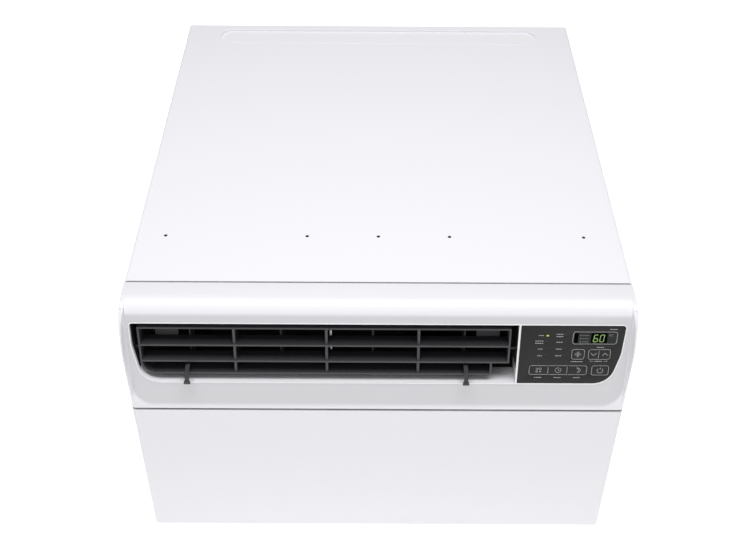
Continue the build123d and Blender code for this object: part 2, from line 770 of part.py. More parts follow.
def motor_stator():
    ring = rod_y(AXIS_X, AXIS_Z, 53, 292, 348)
    return ring - rod_y(AXIS_X, AXIS_Z, 31, 280, 360)


def motor_rotor():
    core = rod_y(AXIS_X, AXIS_Z, 30, 294, 346)
    return core - rod_y(AXIS_X, AXIS_Z, SHAFT_R, 280, 360)


def motor_bracket():
    """Pressed stand that holds the motor above the pan."""
    stand = block(AXIS_X - 70, AXIS_X + 70, 300, 340, AXIS_Z - 60, AXIS_Z - 20)
    stand = stand - rod_y(AXIS_X, AXIS_Z, 56, 290, 350)
    stand = stand + block(AXIS_X - 70, AXIS_X - 60, 300, 340, PAN_TOP, AXIS_Z - 40)
    stand = stand + block(AXIS_X + 60, AXIS_X + 70, 300, 340, PAN_TOP, AXIS_Z - 40)
    stand = stand - block(AXIS_X - 60, AXIS_X + 60, 290, 350, 0, AXIS_Z - 60)
    return stand


def blower_wheel():
    wheel = rod_y(AXIS_X, AXIS_Z, BLOWER_R, 214, 216)
    rim = rod_y(AXIS_X, AXIS_Z, BLOWER_R, 142, 146) - rod_y(AXIS_X, AXIS_Z, BLOWER_R - 14, 140, 148)
    hub = rod_y(AXIS_X, AXIS_Z, 14, 186, 216)
    pieces = [wheel, rim, hub]
    for index in range(28):
        angle = index * 360 / 28
        blade = block(-0.9, 0.9, 145, 215, BLOWER_R - 13, BLOWER_R - 1)
        blade = Pos(AXIS_X, 0, AXIS_Z) * Rot(0, angle, 0) * blade
        pieces.append(blade)
    return fused(pieces) - rod_y(AXIS_X, AXIS_Z, SHAFT_R, 100, 300)


def condenser_fan():
    """Five-blade fan whose outer ring throws pan water on the coil."""
    hub = rod_y(AXIS_X, AXIS_Z, 34, 470, 512) - rod_y(AXIS_X, AXIS_Z, 30, 460, 506)
    boss = rod_y(AXIS_X, AXIS_Z, 11, 480, 512)
    ring = rod_y(AXIS_X, AXIS_Z, FAN_R, 488, 500) - rod_y(AXIS_X, AXIS_Z, FAN_R - 2.5, 480, 510)
    pieces = [hub, boss, ring]
    for index in range(5):
        blade = Box(84, 2.4, FAN_R - 33, align=(Align.CENTER, Align.CENTER, Align.MIN))
        blade = Rot(0, 0, 26) * blade
        blade = Pos(0, y_at(492), 32) * blade
        pieces.append(Pos(AXIS_X, 0, AXIS_Z) * Rot(0, index * 72, 0) * blade)
    limit = rod_y(AXIS_X, AXIS_Z, FAN_R, 460, 530)
    fan = fused(pieces) & limit
    return fan - rod_y(AXIS_X, AXIS_Z, SHAFT_R, 460, 530)


# ---- outdoor section ------------------------------------------------------------------------

def fan_shroud():
    plate = block(-294, 294, 520, 523, 22, 374)
    plate = plate - rod_y(AXIS_X, AXIS_Z, FAN_R + 6, 500, 530)
    ring = rod_y(AXIS_X, AXIS_Z, FAN_R + 9, 484, 523) - rod_y(AXIS_X, AXIS_Z, FAN_R + 6, 470, 530)
    ring = ring & block(-294, 294, 470, 530, 4, 374)
    walls = block(-294, 294, 523, 598, 22, 374) - block(-291, 291, 520, 600, 25, 371)
    return plate + ring + walls


def condenser_coil():
    return block(-276, 262, 600, 640, 24, 364)


def condenser_end_plates():
    return end_plates(-276, 262, 600, 640, 22, 366)


def condenser_bends():
    right = hairpins(263.2, 1, (611, 629), 34, 356, 11)
    left = hairpins(-277.2, -1, (611, 629), 48, 342, 10)
    return Compound(right + left)


def compressor():
    x, back = COMPRESSOR_X, COMPRESSOR_BACK
    can = rod_z(x, back, 62, 40, 262)
    can = fillet(can.edges().filter_by(GeomType.CIRCLE), 18)
    plate = Pos(x, y_at(back), 28) * extrude(RegularPolygon(95, 3), 5)
    body = can + plate + rod_z(x, back, 40, 30, 60)
    for index in range(3):
        angle = radians(index * 120)
        px, py = x + 78 * cos(angle), back + 78 * sin(angle)
        body = body - rod_z(px, py, 6.0, 20, 40)
    return body


def compressor_grommets():
    pieces = []
    for index in range(3):
        angle = radians(index * 120)
        px = COMPRESSOR_X + 78 * cos(angle)
        py = COMPRESSOR_BACK + 78 * sin(angle)
        foot = rod_z(px, py, 12, PAN_TOP, 28) + rod_z(px, py, 5.9, 28, 36)
        pieces.append(foot - rod_z(px, py, 3.1, 0, 50))
    return Compound(pieces)


def compressor_studs():
    pieces = []
    for index in range(3):
        angle = radians(index * 120)
        px = COMPRESSOR_X + 78 * cos(angle)
        py = COMPRESSOR_BACK + 78 * sin(angle)
        stud = rod_z(px, py, 3.0, PAN_TOP, 44)
        nut = Pos(px, y_at(py), 36) * extrude(RegularPolygon(7.5, 6), 5)
        pieces.append(stud + nut)
    return Compound(pieces)


def accumulator():
    body = rod_z(COMPRESSOR_X - 92, COMPRESSOR_BACK, 24, 80, 220)
    body = fillet(body.edges().filter_by(GeomType.CIRCLE), 9)
    strap = block(COMPRESSOR_X - 70, COMPRESSOR_X - 58, 375, 395, 140, 152)
    return body + (strap - rod_z(COMPRESSOR_X, COMPRESSOR_BACK, 62, 100, 200))


def pipe(points, radius, bend):
    path = FilletPolyline(*[(x, y_at(back), z) for x, back, z in points], radius=bend)
    profile = Plane(origin=path @ 0, z_dir=path % 0) * Circle(radius)
    return sweep(profile, path=path)


def suction_pipe():
    return pipe(
        [
            (COMPRESSOR_X - 92, COMPRESSOR_BACK, 220),
            (COMPRESSOR_X - 92, COMPRESSOR_BACK, 240),
            (COMPRESSOR_X - 92, 300, 240),
            (280, 300, 240),
        ],
        6.0,
        14,
    )


def discharge_pipe():
    return pipe(
        [
            (COMPRESSOR_X + 36, COMPRESSOR_BACK, 262),
            (COMPRESSOR_X + 36, COMPRESSOR_BACK, 310),
            (COMPRESSOR_X + 36, 470, 310),
            (284, 470, 310),
            (284, 511, 310),
        ],
        4.5,
        12,
    )


SUBPARTS = {
    "cabinet_sleeve": cabinet_sleeve,
    "rear_guard": rear_guard,
    "base_pan": base_pan,
    "front_bezel": front_bezel,
    "front_frame": front_frame,
    "frame_yoke": frame_yoke,
    "case_screws": case_screws,
    "cord_gland": cord_gland,
    "intake_grille": intake_grille,
    "air_filter": air_filter,
    "louver_frame": louver_frame,
    "left_vane_lever": lambda: vane(VANE_X[0], True),
    "left_vane_middle": lambda: vane(VANE_X[1], False),
    "left_vane_inner": lambda: vane(VANE_X[2], False),
    "right_vane_inner": lambda: vane(VANE_X[3], False),
    "right_vane_middle": lambda: vane(VANE_X[4], False),
    "right_vane_lever": lambda: vane(VANE_X[5], True),
    "left_link_bar": lambda: link_bar(VANE_X[:3], -1),
    "right_link_bar": lambda: link_bar(VANE_X[3:], 1),
    "air_duct": air_duct,
    "control_fascia": control_fascia,
    "display_window": display_window,
    "display_module": display_module,
    "indicator_lights": indicator_lights,
    "control_board": control_board,
    "control_box": control_box,
    "power_board": power_board,
    "drip_tray": drip_tray,
    "evaporator_coil": evaporator_coil,
    "evaporator_end_plates": evaporator_end_plates,
    "evaporator_bends": evaporator_bends,
    "scroll_front": scroll_front,
    "scroll_case": scroll_case,
    "air_plenum": air_plenum,
    "bulkhead": bulkhead,
    "motor_housing": motor_housing,
    "motor_bearings": motor_bearings,
    "motor_stator": motor_stator,
    "motor_rotor": motor_rotor,
    "motor_shaft": motor_shaft,
    "motor_bracket": motor_bracket,
    "blower_wheel": blower_wheel,
    "condenser_fan": condenser_fan,
    "fan_shroud": fan_shroud,
    "condenser_coil": condenser_coil,
    "condenser_end_plates": condenser_end_plates,
    "condenser_bends": condenser_bends,
    "compressor": compressor,
    "compressor_grommets": compressor_grommets,
    "compressor_studs": compressor_studs,
    "accumulator": accumulator,
    "suction_pipe": suction_pipe,
    "discharge_pipe": discharge_pipe,
}
for name in KEYS:
    SUBPARTS[name] = lambda key=name: button(key)

for name, make in SUBPARTS.items():
    export_step(make(), f"parts/{name}.step")
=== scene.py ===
import json
import math

import bmesh
import bpy
from mathutils import Matrix, Vector


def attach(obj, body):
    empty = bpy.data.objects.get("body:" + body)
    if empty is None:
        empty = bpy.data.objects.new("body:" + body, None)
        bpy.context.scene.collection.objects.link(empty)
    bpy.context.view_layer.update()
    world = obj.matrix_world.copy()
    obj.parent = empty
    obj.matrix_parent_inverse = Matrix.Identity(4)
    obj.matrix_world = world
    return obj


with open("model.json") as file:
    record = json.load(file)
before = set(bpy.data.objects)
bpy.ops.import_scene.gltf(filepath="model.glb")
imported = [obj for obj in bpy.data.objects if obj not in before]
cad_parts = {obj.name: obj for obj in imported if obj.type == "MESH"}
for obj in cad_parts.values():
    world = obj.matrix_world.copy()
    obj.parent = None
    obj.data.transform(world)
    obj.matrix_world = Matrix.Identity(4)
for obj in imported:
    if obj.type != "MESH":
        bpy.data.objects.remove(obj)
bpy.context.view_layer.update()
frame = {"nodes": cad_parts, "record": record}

NODES = frame["nodes"]
MM = 0.001
FRONT = -0.3415
SLOPE = math.radians(10.5)
FACE_ORIGIN = Vector((0.0, FRONT + 0.02378, 0.3563))
FACE_UP = Vector((0.0, math.sin(SLOPE), math.cos(SLOPE)))
FACE_OUT = Vector((0.0, -math.cos(SLOPE), math.sin(SLOPE)))


# ---- materials ------------------------------------------------------------------------

def material(name, colour, rough, metal=0.0, grain=60.0, bump=0.05, tint=0.03,
             emit=None, glow=0.0, spread=0.06, gleam=0.5):
    """Shader whose colour, roughness and surface vary with a fine procedural grain."""
    mat = bpy.data.materials.new(name)
    mat.use_nodes = True
    tree = mat.node_tree
    shader = tree.nodes["Principled BSDF"]
    coords = tree.nodes.new("ShaderNodeTexCoord")
    noise = tree.nodes.new("ShaderNodeTexNoise")
    noise.inputs["Scale"].default_value = grain
    noise.inputs["Detail"].default_value = 3.0
    tree.links.new(coords.outputs["Object"], noise.inputs["Vector"])
    ramp = tree.nodes.new("ShaderNodeMix")
    ramp.data_type = "RGBA"
    dark = [max(0.0, c * (1.0 - tint)) for c in colour]
    light = [min(1.0, c * (1.0 + tint)) for c in colour]
    ramp.inputs["A"].default_value = (*dark, 1.0)
    ramp.inputs["B"].default_value = (*light, 1.0)
    tree.links.new(noise.outputs["Fac"], ramp.inputs["Factor"])
    tree.links.new(ramp.outputs["Result"], shader.inputs["Base Color"])
    spread_node = tree.nodes.new("ShaderNodeMapRange")
    spread_node.inputs["To Min"].default_value = max(0.02, rough - spread)
    spread_node.inputs["To Max"].default_value = min(1.0, rough + spread)
    tree.links.new(noise.outputs["Fac"], spread_node.inputs["Value"])
    tree.links.new(spread_node.outputs["Result"], shader.inputs["Roughness"])
    shader.inputs["Metallic"].default_value = metal
    shader.inputs["Specular IOR Level"].default_value = gleam
    if bump > 0:
        relief = tree.nodes.new("ShaderNodeBump")
        relief.inputs["Strength"].default_value = bump
        relief.inputs["Distance"].default_value = 0.0002
        tree.links.new(noise.outputs["Fac"], relief.inputs["Height"])
        tree.links.new(relief.outputs["Normal"], shader.inputs["Normal"])
    if emit:
        shader.inputs["Emission Color"].default_value = (*emit, 1.0)
        shader.inputs["Emission Strength"].default_value = glow
    return mat


MATS = {
    "sheet_white": material("sheet_white", (0.826, 0.824, 0.865), 0.42,
                            grain=900, bump=0.06, tint=0.01),
    "white_plastic": material("white_plastic", (0.785, 0.783, 0.815), 0.36,
                              grain=1400, bump=0.05, tint=0.008),
    "dark_plastic": material("dark_plastic", (0.042, 0.042, 0.047), 0.45,
                             grain=1200, bump=0.10, tint=0.12),
    "duct_plastic": material("duct_plastic", (0.036, 0.036, 0.040), 0.55,
                             grain=900, bump=0.10, tint=0.15),
    "gloss_black": material("gloss_black", (0.008, 0.008, 0.008), 0.16,
                            grain=300, bump=0.01, tint=0.1, spread=0.03, gleam=0.25),
    "display_lens": material("display_lens", (0.006, 0.008, 0.007), 0.08,
                             grain=300, bump=0.0, tint=0.1, spread=0.02, gleam=0.25),
    "display_glow": material("display_glow", (0.02, 0.03, 0.02), 0.4, grain=300, bump=0.02),
    "led_lens": material("led_lens", (0.02, 0.02, 0.019), 0.35, grain=500, bump=0.02),
    "circuit_board": material("circuit_board", (0.03, 0.16, 0.07), 0.4, grain=180, bump=0.1, tint=0.3),
    "filter_plastic": material("filter_plastic", (0.12, 0.16, 0.20), 0.6,
                               grain=2500, bump=0.4, tint=0.2),
    "foam": material("foam", (0.60, 0.60, 0.60), 0.9, grain=900, bump=0.5, tint=0.12),
    "coil_fins": material("coil_fins", (0.60, 0.62, 0.64), 0.38,
                          metal=0.9, grain=400, bump=0.1, tint=0.08),
    "copper": material("copper", (0.66, 0.32, 0.17), 0.32, metal=1.0, grain=120, bump=0.05, tint=0.15),
    "galvanised": material("galvanised", (0.55, 0.56, 0.57), 0.45,
                           metal=0.85, grain=90, bump=0.08, tint=0.15),
    "zinc": material("zinc", (0.62, 0.62, 0.62), 0.35, metal=1.0, grain=400, bump=0.05),
    "bare_steel": material("bare_steel", (0.50, 0.50, 0.51), 0.30, metal=1.0, grain=300, bump=0.05),
    "bronze": material("bronze", (0.50, 0.34, 0.15), 0.45, metal=1.0, grain=600, bump=0.1),
    "black_rubber": material("black_rubber", (0.02, 0.02, 0.02), 0.75, grain=700, bump=0.2, tint=0.2),
    "black_paint": material("black_paint", (0.016, 0.016, 0.018), 0.35, grain=250, bump=0.06, tint=0.2),
    "foam_dark": material("foam_dark", (0.12, 0.12, 0.125), 0.9, grain=900, bump=0.4, tint=0.1),
    "gap_shade": material("gap_shade", (0.012, 0.012, 0.012), 0.9, grain=900, bump=0.2, tint=0.1),
    # Bead white, brighter than white_plastic: a painted highlight along the opening's edge.
    "white_bead_painted_highlight": material("white_bead_painted_highlight", (0.86, 0.86, 0.87), 0.25, grain=1400, bump=0.02, tint=0.006),
    "filter_thread": material("filter_thread", (0.16, 0.21, 0.26), 0.6,
                              grain=900, bump=0.1, tint=0.15),
    "display_dark": material("display_dark", (0.002, 0.003, 0.002), 0.4,
                             grain=300, bump=0.0, tint=0.1, gleam=0.0),
    "dim_print": material("dim_print", (0.16, 0.165, 0.16), 0.5, grain=500, bump=0.0),
}
PRINT = material("printed_marks", (0.42, 0.42, 0.42), 0.5, grain=800, bump=0.02)
DIGITS = material("lit_digits", (0.12, 0.20, 0.07), 0.5,
                  grain=500, bump=0.0, emit=(0.46, 0.75, 0.24), glow=0.42)
LAMP = material("lit_lamp", (0.25, 0.30, 0.03), 0.5,
                grain=500, bump=0.0, emit=(0.50, 0.72, 0.05), glow=0.6)


def inset_painted_shade():
    """White plastic, a little glossier, with painted shade: its sloped, inset face is coloured greyer to
    stand for shade.
    """
    mat = material("white_plastic_front_painted_shade", (0.785, 0.783, 0.815), 0.32, grain=1400, bump=0.05, tint=0.008)
    tree = mat.node_tree
    shader = tree.nodes["Principled BSDF"]
    plain = shader.inputs["Base Color"].links[0].from_socket
    coords = tree.nodes.new("ShaderNodeTexCoord")
    shift = tree.nodes.new("ShaderNodeVectorMath")
    shift.operation = "SUBTRACT"
    shift.inputs[1].default_value = FACE_ORIGIN
    height = tree.nodes.new("ShaderNodeVectorMath")
    height.operation = "DOT_PRODUCT"
    height.inputs[1].default_value = FACE_OUT
    away = tree.nodes.new("ShaderNodeMath")
    away.operation = "ABSOLUTE"
    # Painted shade mask: 77% of the base colour on the inset face's plane, full colour from 1.2 mm off
    # it.
    edge = tree.nodes.new("ShaderNodeMapRange")
    edge.inputs["From Min"].default_value = 0.0002
    edge.inputs["From Max"].default_value = 0.0012
    edge.inputs["To Min"].default_value = 0.77
    edge.inputs["To Max"].default_value = 1.0
    painted_shade_tone = tree.nodes.new("ShaderNodeVectorMath")
    painted_shade_tone.operation = "SCALE"
    tree.links.new(coords.outputs["Object"], shift.inputs[0])
    tree.links.new(shift.outputs["Vector"], height.inputs[0])
    tree.links.new(height.outputs["Value"], away.inputs[0])
    tree.links.new(away.outputs["Value"], edge.inputs["Value"])
    tree.links.new(plain, painted_shade_tone.inputs[0])
    tree.links.new(edge.outputs["Result"], painted_shade_tone.inputs["Scale"])
    tree.links.new(painted_shade_tone.outputs["Vector"], shader.inputs["Base Color"])
    return mat


for entry in frame["record"]["subparts"]:
    node = NODES[entry["node"]]
    node.data.materials.clear()
    node.data.materials.append(MATS[entry["material_slot"]])
# The bezel gets the white plastic with painted shade on its sloped inset face.
NODES["front_bezel"].data.materials[0] = inset_painted_shade()


# ---- shading of the carried parts ------------------------------------------------------

def smooth_group():
    """Node group that smooths every edge flatter than its limit."""
    group = bpy.data.node_groups.new("smooth_by_angle", "GeometryNodeTree")
    group.interface.new_socket("Geometry", in_out="INPUT", socket_type="NodeSocketGeometry")
    group.interface.new_socket("Geometry", in_out="OUTPUT", socket_type="NodeSocketGeometry")
    group.is_modifier = True
    enter = group.nodes.new("NodeGroupInput")
    leave = group.nodes.new("NodeGroupOutput")
    angle = group.nodes.new("GeometryNodeInputMeshEdgeAngle")
    limit = group.nodes.new("FunctionNodeCompare")
    limit.data_type = "FLOAT"
    limit.operation = "LESS_THAN"
    limit.inputs["B"].default_value = math.radians(32)
    faces = group.nodes.new("GeometryNodeSetShadeSmooth")
    faces.domain = "FACE"
    edges = group.nodes.new("GeometryNodeSetShadeSmooth")
    edges.domain = "EDGE"
    group.links.new(enter.outputs[0], faces.inputs["Geometry"])
    group.links.new(faces.outputs[0], edges.inputs["Geometry"])
    group.links.new(angle.outputs["Unsigned Angle"], limit.inputs["A"])
    group.links.new(limit.outputs["Result"], edges.inputs["Shade Smooth"])
    group.links.new(edges.outputs[0], leave.inputs[0])
    return group


SMOOTH = smooth_group()
SHARP = 35


def soften(obj, width, segments=3):
    """Weld, round the sharp edges by width and smooth the shading."""
    weld = obj.modifiers.new("weld", "WELD")
    weld.merge_threshold = 0.00001
    if width > 0:
        bevel = obj.modifiers.new("round", "BEVEL")
        bevel.width = width
        bevel.segments = segments
        bevel.limit_method = "ANGLE"
        bevel.angle_limit = math.radians(SHARP)
        bevel.use_clamp_overlap = True
        bevel.harden_normals = False
    nodes = obj.modifiers.new("smooth", "NODES")
    nodes.node_group = SMOOTH


ROUNDED = {
    "cabinet_sleeve": 0.0,
    "front_bezel": 0.0008,
    "intake_grille": 0.0012,
    "louver_frame": 0.0005,
    "control_fascia": 0.0002,
    "button_fan_speed": 0.0003,
    "button_temp_down": 0.0003,
    "button_temp_up": 0.0003,
    "button_mode": 0.0003,
    "button_timer": 0.0003,
    "button_sleep": 0.0003,
    "button_power": 0.0003,
    "rear_guard": 0.0008,
    "case_screws": 0.0006,
    "front_frame": 0.0006,
    "frame_yoke": 0.0006,
    "base_pan": 0.0,
    "compressor": 0.002,
}
for name, node in NODES.items():
    soften(node, ROUNDED.get(name, 0.0))


# ---- mesh helpers ------------------------------------------------------------------------

def face_at(x, s, n):
    """World point for x right, s down the sloped face and n outward, in millimetres."""
    return FACE_ORIGIN + Vector((x * MM, 0, 0)) - FACE_UP * (s * MM) + FACE_OUT * (n * MM)


def plain_at(x, back, z):
    """World point for x right, back behind the front plane and z up, in millimetres."""
    return Vector((x * MM, FRONT + back * MM, z * MM))


def upright_at(x, z, back):
    """World point for outlines drawn in x and z that are given a depth."""
    return plain_at(x, back, z)


class Solid:
    """Gathers closed boxes, bands and plates into one mesh."""

    def __init__(self, place=plain_at):
        self.place = place
        self.verts = []
        self.faces = []

    def add(self, points, faces):
        start = len(self.verts)
        self.verts += [self.place(*p) for p in points]
        self.faces += [[start + i for i in f] for f in faces]

    def box(self, a0, a1, b0, b1, c0, c1):
        points = [(a, b, c) for a in (a0, a1) for b in (b0, b1) for c in (c0, c1)]
        across = [(0, 1, 3, 2), (4, 6, 7, 5)]
        along = [(0, 4, 5, 1), (2, 3, 7, 6)]
        ends = [(0, 2, 6, 4), (1, 5, 7, 3)]
        self.add(points, across + along + ends)

    def plate(self, outline, c0, c1):
        """Flat plate with any convex outline."""
        count = len(outline)
        points = [(a, b, c0) for a, b in outline] + [(a, b, c1) for a, b in outline]
        faces = [tuple(range(count)), tuple(range(2 * count - 1, count - 1, -1))]
        faces += [(i, (i + 1) % count, count + (i + 1) % count, count + i) for i in range(count)]
        self.add(points, faces)

    def band(self, path, width, c0, c1, closed=False):
        """Flat strip of constant width along a path, with mitred corners."""
        pts = [Vector(p) for p in path]
        count = len(pts)
        left, right = [], []
        for i, p in enumerate(pts):
            before = pts[i - 1] if closed or i > 0 else p
            after = pts[(i + 1) % count] if closed or i < count - 1 else p
            d1 = (p - before).normalized() if (p - before).length > 0 else (after - p).normalized()
            d2 = (after - p).normalized() if (after - p).length > 0 else d1
            mid = (d1 + d2).normalized()
            normal = Vector((-mid.y, mid.x))
            reach = width / 2 / max(0.4, mid.dot(d1))
            left.append(p + normal * reach)
            right.append(p - normal * reach)
        points = []
        for a, b in zip(left, right):
            points += [(a.x, a.y, c0), (b.x, b.y, c0), (b.x, b.y, c1), (a.x, a.y, c1)]
        faces = []
        for i in range(count if closed else count - 1):
            j = (i + 1) % count
            for k in range(4):
                m = (k + 1) % 4
                faces.append((4 * i + k, 4 * i + m, 4 * j + m, 4 * j + k))
        if not closed:
            last = 4 * (count - 1)
            faces += [(3, 2, 1, 0), (last, last + 1, last + 2, last + 3)]
        self.add(points, faces)

    def piece(self, name, mat, body, width=0.0, segments=2):
        mesh = bpy.data.meshes.new(name)
        mesh.from_pydata([tuple(v) for v in self.verts], [], self.faces)
        bm = bmesh.new()
        bm.from_mesh(mesh)
        bmesh.ops.recalc_face_normals(bm, faces=bm.faces)
        bm.to_mesh(mesh)
        bm.free()
        obj = bpy.data.objects.new(name, mesh)
        bpy.context.scene.collection.objects.link(obj)
        mesh.materials.append(mat)
        soften(obj, width, segments)
        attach(obj, body)
        return obj


def arc(a, b, radius, start, stop, steps=12):
    """Points on an arc, angles in degrees."""
    turns = [math.radians(start + (stop - start) * i / steps) for i in range(steps + 1)]
    return [(a + radius * math.cos(t), b + radius * math.sin(t)) for t in turns]


def rounded(a0, a1, b0, b1, radii, steps=6):
    """Rounded rectangle; radii are for the (a0, b0), (a1, b0), (a1, b1) and (a0, b1) corners."""
    r1, r2, r3, r4 = radii
    path = arc(a0 + r1, b0 + r1, r1, 180, 270, steps)
    path += arc(a1 - r2, b0 + r2, r2, 270, 360, steps)
    path += arc(a1 - r3, b1 - r3, r3, 0, 90, steps)
    path += arc(a0 + r4, b1 - r4, r4, 90, 180, steps)
    return path


# ---- casing details ------------------------------------------------------------------------

def seam_gasket():
    """Grey foam strip set back in the gap between the plastic front and the sleeve."""
    solid = Solid(upright_at)
    solid.band(rounded(-298.0, 298.0, 3.0, 378.6, (3, 3, 3, 3)), 2.0, 68.6, 70.4, closed=True)
    solid.piece("seam_gasket", MATS["foam_dark"], "cabinet")


def chin_gap_shade_strip():
    """Near-black strip deep in the gap above the intake panel: painted shade that makes the gap line
    read black.
    """
    solid = Solid()
    solid.box(-296.5, 296.5, 1.6, 40, 233.9, 236.3)
    solid.piece("chin_gap_shade_strip", MATS["gap_shade"], "cabinet")


def turned(points, radii, steps=7):
    """Closed outline with an arc of its own radius in place of each corner."""
    path = []
    count = len(points)
    for i, radius in enumerate(radii):
        corner = Vector(points[i])
        if radius == 0:
            path.append(corner)
            continue
        a = (Vector(points[i - 1]) - corner).normalized()
        b = (Vector(points[(i + 1) % count]) - corner).normalized()
        half = a.angle(b) / 2
        hub = corner + (a + b).normalized() * (radius / math.sin(half))
        start = corner + a * (radius / math.tan(half)) - hub
        stop = corner + b * (radius / math.tan(half)) - hub
        sweep = start.angle_signed(stop)
        for k in range(steps + 1):
            turn = -sweep * k / steps
            path.append(hub + Vector((start.x * math.cos(turn) - start.y * math.sin(turn),
                                      start.x * math.sin(turn) + start.y * math.cos(turn))))
    return path


def opening_bead():
    """Fine raised bead round the outlet and the control panel; its white is brighter than the plastic
    round it, a painted highlight on a real raised edge.
    """
    solid = Solid(face_at)
    left = turned([(-290.9, -0.7), (165.0, -0.7), (165.0, 84.0), (-282.0, 84.0), (-290.9, 32.0)],
                  (4.6, 0.5, 0.5, 25, 60))
    right = turned([(166.0, -0.7), (289.9, -0.7), (287.9, 41.0), (277.1, 84.0), (166.0, 84.0)],
                   (0.5, 4.6, 60, 25, 0.5))
    solid.band(left, 1.2, -0.6, 0.45, closed=True)
    solid.band(right, 1.2, -0.6, 0.45, closed=True)
    solid.piece("opening_bead", MATS["white_bead_painted_highlight"], "cabinet", 0.00035, 3)


VENT_ROWS = [88 + 20 * row for row in range(12)]
VENT_COLUMNS = ((290.0, 380.0), (400.0, 490.0))


def vent_hoods():
    """Pressed hoods over the side slots, open at their lower edge."""
    steps, rise = 14, 6
    for side, word in ((-1, "left"), (1, "right")):
        solid = Solid()
        for z in VENT_ROWS:
            for back0, back1 in VENT_COLUMNS:
                points = []
                for skin in (0.0, 0.7):
                    for i in range(steps + 1):
                        u = -1 + 2 * i / steps
                        for j in range(rise + 1):
                            v = j / rise
                            puff = 2.6 * (1 - u ** 6) * math.cos(v * math.pi / 2) ** 0.7
                            x = side * (299.9 + puff - skin)
                            back = (back0 + back1) / 2 + u * ((back1 - back0) / 2 + 0.6)
                            points.append((x, back, z - 0.6 + v * 9.0))
                row = rise + 1
                layer = (steps + 1) * row
                faces = []
                for i in range(steps):
                    for j in range(rise):
                        a = i * row + j
                        quad = (a, a + 1, a + row + 1, a + row)
                        faces.append(quad)
                        faces.append(tuple(layer + k for k in reversed(quad)))
                    low = i * row
                    top = i * row + rise
                    faces.append((low, low + row, layer + low + row, layer + low))
                    faces.append((top, layer + top, layer + top + row, top + row))
                for j in range(rise):
                    far = steps * row
                    faces.append((j, layer + j, layer + j + 1, j + 1))
                    faces.append((far + j, far + j + 1, layer + far + j + 1, layer + far + j))
                solid.add(points, faces)
        solid.piece(f"{word}_vent_hoods", MATS["sheet_white"], "cabinet")


def screw_crosses():
    """Cross recesses of the guard's screws."""
    solid = Solid(upright_at)
    for x in (-294.5, 294.5):
        for z in (40, 190, 340):
            solid.box(x - 2.0, x + 2.0, z - 0.45, z + 0.45, 671.6, 672.08)
            solid.box(x - 0.45, x + 0.45, z - 2.0, z + 2.0, 671.6, 672.08)
    solid.piece("guard_screw_crosses", MATS["black_paint"], "cabinet")


def groove_line():
    """Soft shoulder pressed round the long groove near the rear edge of the top."""
    solid = Solid()
    middle = 649.5
    half_l = 248.0
    half_w = 20.5
    straight = half_l - half_w
    path = arc(straight, middle, half_w + 0.4, -90, 90, 16)
    path += arc(-straight, middle, half_w + 0.4, 90, 270, 16)
    solid.band(path, 1.6, 380.6, 381.25, closed=True)
    solid.piece("groove_shoulder", MATS["sheet_white"], "cabinet", 0.0003, 3)


def coil_fins(name, x0, x1, back0, back1, z0, z1, pitch, proud):
    """Edges of the thin fins on both faces of a coil."""
    solid = Solid()
    count = int((x1 - x0) / pitch)
    for i in range(count):
        x = x0 + (i + 0.5) * pitch
        solid.box(x - 0.2, x + 0.2, back0 - proud, back0 + 0.1, z0, z1)
        solid.box(x - 0.2, x + 0.2, back1 - 0.1, back1 + proud, z0, z1)
    solid.piece(name, MATS["coil_fins"], "cabinet")


def filter_screen():
    """Fine mesh laid over the webs of the filter."""
    solid = Solid()
    for i in range(194):
        x = -288.0 + i * 3.0
        solid.box(x - 0.25, x + 0.25, 32.0, 32.5, 33, 226)
    for i in range(65):
        z = 33.5 + i * 3.0
        solid.box(-289, 289, 31.8, 32.3, z - 0.25, z + 0.25)
    solid.piece("filter_screen", MATS["filter_thread"], "intake_panel")


def filter_tabs():
    """Two finger tabs at the top of the filter frame."""
    solid = Solid()
    for x in (-150, 150):
        solid.box(x - 14, x + 14, 29.4, 30.4, 214, 224)
        for i in range(3):
            solid.box(x - 10, x + 10, 28.9, 29.5, 216 + 3 * i, 217 + 3 * i)
    solid.piece("filter_tabs", MATS["filter_plastic"], "intake_panel", 0.0004)


def post_clip():
    """Two bright clips on the fixed post in the middle of the outlet."""
    solid = Solid(face_at)
    solid.box(-58.2, -55.8, 31, 44.5, -35.6, -34.6)
    solid.box(-58.2, -55.8, 55, 60.5, -35.6, -34.6)
    solid.piece("post_clip", MATS["zinc"], "cabinet", 0.0003)


def lever_tip(name, body, x):
    """Thicker foot at the end of a vane lever, with two grip lines."""
    solid = Solid(face_at)
    solid.plate([(x - 3.4, 74.6), (x + 3.4, 74.6), (x + 4.0, 78.2), (x - 4.0, 78.2)], 9.6, 12.6)
    for s in (75.4, 76.8):
        solid.box(x - 2.6, x + 2.6, s, s + 0.5, 12.4, 12.9)
    solid.piece(name, MATS["dark_plastic"], body, 0.0003)


seam_gasket()
# Painted shade: a near-black strip fills the gap above the intake panel.
chin_gap_shade_strip()
opening_bead()
vent_hoods()
screw_crosses()
groove_line()
coil_fins("condenser_fin_edges", -276, 262, 600, 640, 24.5, 363.5, 2.2, 0.9)
coil_fins("evaporator_fin_edges", -270, 262, 82, 120, 24.5, 227.5, 2.0, 0.7)
filter_screen()
filter_tabs()
post_clip()
lever_tip("left_lever_tip", "left_vane_lever_body", -227.0)
lever_tip("right_lever_tip", "right_vane_lever_body", 105.0)


# ---- printing on the control panel -----------------------------------------------------------

KEYS = {
    "fan_speed": (228.4, 244.3, 33.2, 48.3),
    "temp_down": (248.2, 261.4, 33.2, 48.3),
    "temp_up": (262.0, 275.0, 33.2, 48.3),
    "mode": (179.8, 203.2, 56.8, 70.8),
    "timer": (203.8, 225.8, 56.8, 70.8),
    "sleep": (226.4, 249.4, 56.8, 70.8),
    "power": (254.3, 275.4, 56.6, 71.2),
}
INK = (-0.02, 0.05)
LINE = 0.46
SHORT = 0.4
OVERHANG = 0.55


